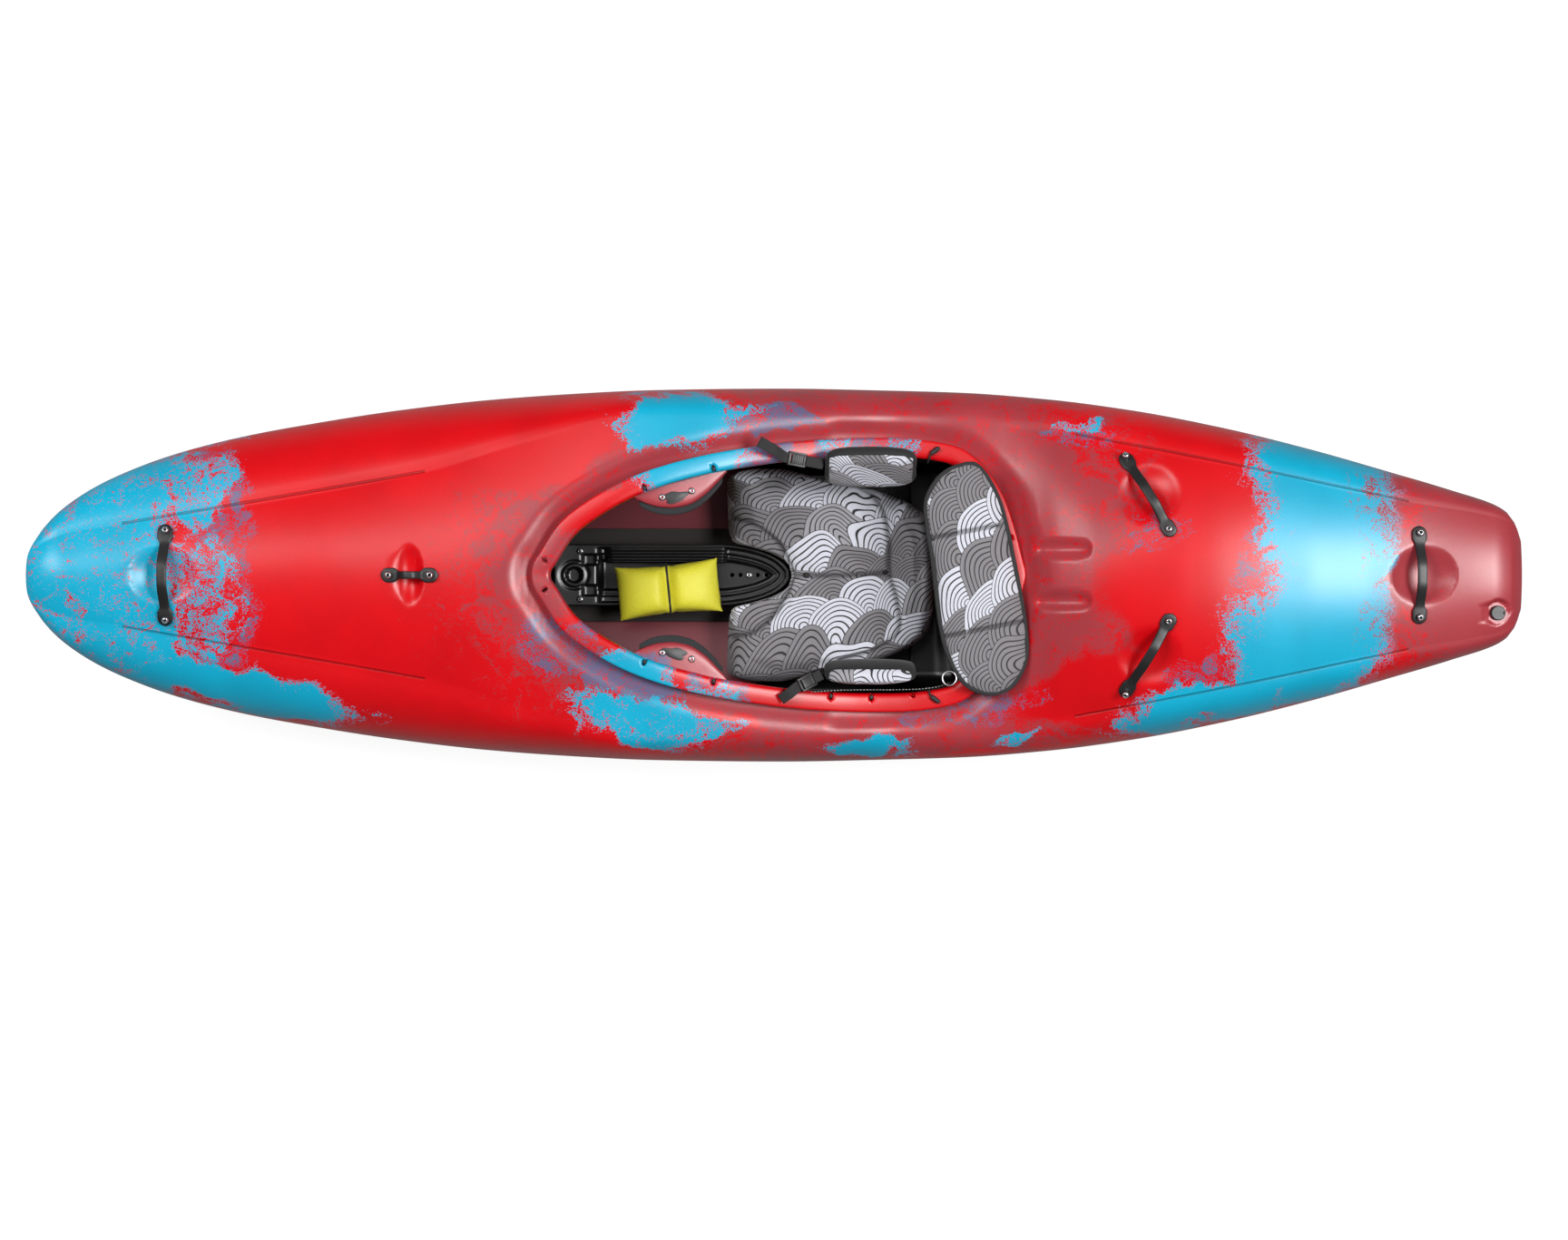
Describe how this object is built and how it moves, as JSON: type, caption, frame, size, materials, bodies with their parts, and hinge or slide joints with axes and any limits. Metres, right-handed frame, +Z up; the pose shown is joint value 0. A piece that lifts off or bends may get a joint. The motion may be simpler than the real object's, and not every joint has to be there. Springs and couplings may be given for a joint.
{
  "type": "whitewater kayak",
  "caption": "Decked river-running kayak with an open cockpit, trimmable seat, hip pads, hinged backband, sliding foot bulkhead, carry handles and a screw-in drain plug.",
  "frame": {"origin": "on the ground under the middle of the boat: bottom centre of its bounding box", "axes": "+X towards the stern, -X towards the bow, +Y towards starboard, +Z up"},
  "size_m": [2.7429, 0.716, 0.4509],
  "materials": {
    "hull_polyethylene": "marbled, satin gloss",
    "black_plastic": "matte moulded",
    "stainless_steel": "bright",
    "rubber_gasket": "matte",
    "black_rubber": "matte",
    "black_foam": "closed-cell foam",
    "grey_foam": "closed-cell foam",
    "printed_fabric": "printed woven cover",
    "black_webbing": "woven",
    "yellow_nylon": "coated cloth",
    "aluminium_rail": "anodised"
  },
  "bodies": {
    "hull": {"hull_shell": "hull_polyethylene", "bow_handle": "black_plastic", "bow_handle_screw_1": "stainless_steel", "bow_handle_screw_2": "stainless_steel", "foredeck_loop": "black_plastic", "foredeck_loop_screw_1": "stainless_steel", "foredeck_loop_screw_2": "stainless_steel", "rear_handle_starboard": "black_plastic", "rear_handle_starboard_screw_1": "stainless_steel", "rear_handle_starboard_screw_2": "stainless_steel", "rear_handle_port": "black_plastic", "rear_handle_port_screw_1": "stainless_steel", "rear_handle_port_screw_2": "stainless_steel", "stern_handle": "black_plastic", "stern_handle_screw_1": "stainless_steel", "stern_handle_screw_2": "stainless_steel", "thigh_screw_port_1": "stainless_steel", "thigh_screw_port_2": "stainless_steel", "thigh_pad_port": "black_foam", "foot_rail_port": "aluminium_rail", "seat_rail_port": "black_plastic", "backband_strap_port": "black_webbing", "cord_knob_port": "black_rubber", "thigh_screw_starboard_1": "stainless_steel", "thigh_screw_starboard_2": "stainless_steel", "thigh_pad_starboard": "black_foam", "foot_rail_starboard": "aluminium_rail", "seat_rail_starboard": "black_plastic", "backband_strap_starboard": "black_webbing", "cord_knob_starboard": "black_rubber", "floor_mat": "black_foam", "centre_beam": "black_plastic", "front_pillar": "grey_foam", "rear_pillar": "grey_foam", "trim_bolt": "stainless_steel", "beam_bolt_port": "stainless_steel", "beam_bolt_starboard": "stainless_steel", "gear_pouch": "yellow_nylon", "pouch_cord": "black_rubber"},
    "seat": {"seat_base": "black_plastic", "seat_cushion": "printed_fabric", "hip_pad_starboard": "printed_fabric", "hip_pad_port": "printed_fabric", "hip_strap_starboard": "black_webbing", "hip_strap_port": "black_webbing", "hip_buckle_starboard": "black_plastic", "hip_buckle_port": "black_plastic", "hip_strap_tail_starboard": "black_webbing", "hip_strap_tail_port": "black_webbing"},
    "foot_bulkhead": {"foot_bulkhead": "aluminium_rail", "foot_bulkhead_foam": "grey_foam"},
    "backband": {"backband_shell": "black_plastic", "backband_pad": "printed_fabric"},
    "backband_ring": {"backband_ring": "stainless_steel"},
    "plug_gasket": {"drain_plug_gasket": "rubber_gasket"},
    "plug": {"drain_plug": "black_plastic"}
  },
  "joints": [
    {"name": "seat_trim", "type": "slide", "parent": "hull", "child": "seat", "axis": [1, 0, 0], "range_m": [-0.017, 0.017]},
    {"name": "foot_bulkhead_slide", "type": "slide", "parent": "hull", "child": "foot_bulkhead", "axis": [1, 0, 0], "range_m": [-0.06, 0.09]},
    {"name": "backband_fold", "type": "hinge", "parent": "hull", "child": "backband", "pos_m": [0.285, -0.03, 0.283], "axis": [0.1381, -0.9904, 0], "range_deg": [0, 60]},
    {"name": "backband_ring_swing", "type": "hinge", "parent": "backband", "child": "backband_ring", "pos_m": [0.326, -0.193, 0.291], "axis": [0, -1, 0], "range_deg": [0, 40]},
    {"name": "drain_plug_lift", "type": "slide", "parent": "hull", "child": "plug_gasket", "axis": [0, 0, 1], "range_m": [0, 0.012]},
    {"name": "drain_plug_turn", "type": "hinge", "parent": "plug_gasket", "child": "plug", "pos_m": [1.322, -0.07, 0.345], "axis": [0, 0, 1], "range_deg": [0, 1440]}
  ],
  "couplings": [
    {"joint": "drain_plug_lift", "follows": "drain_plug_turn", "m_per_rad": 0.000477}
  ]
}
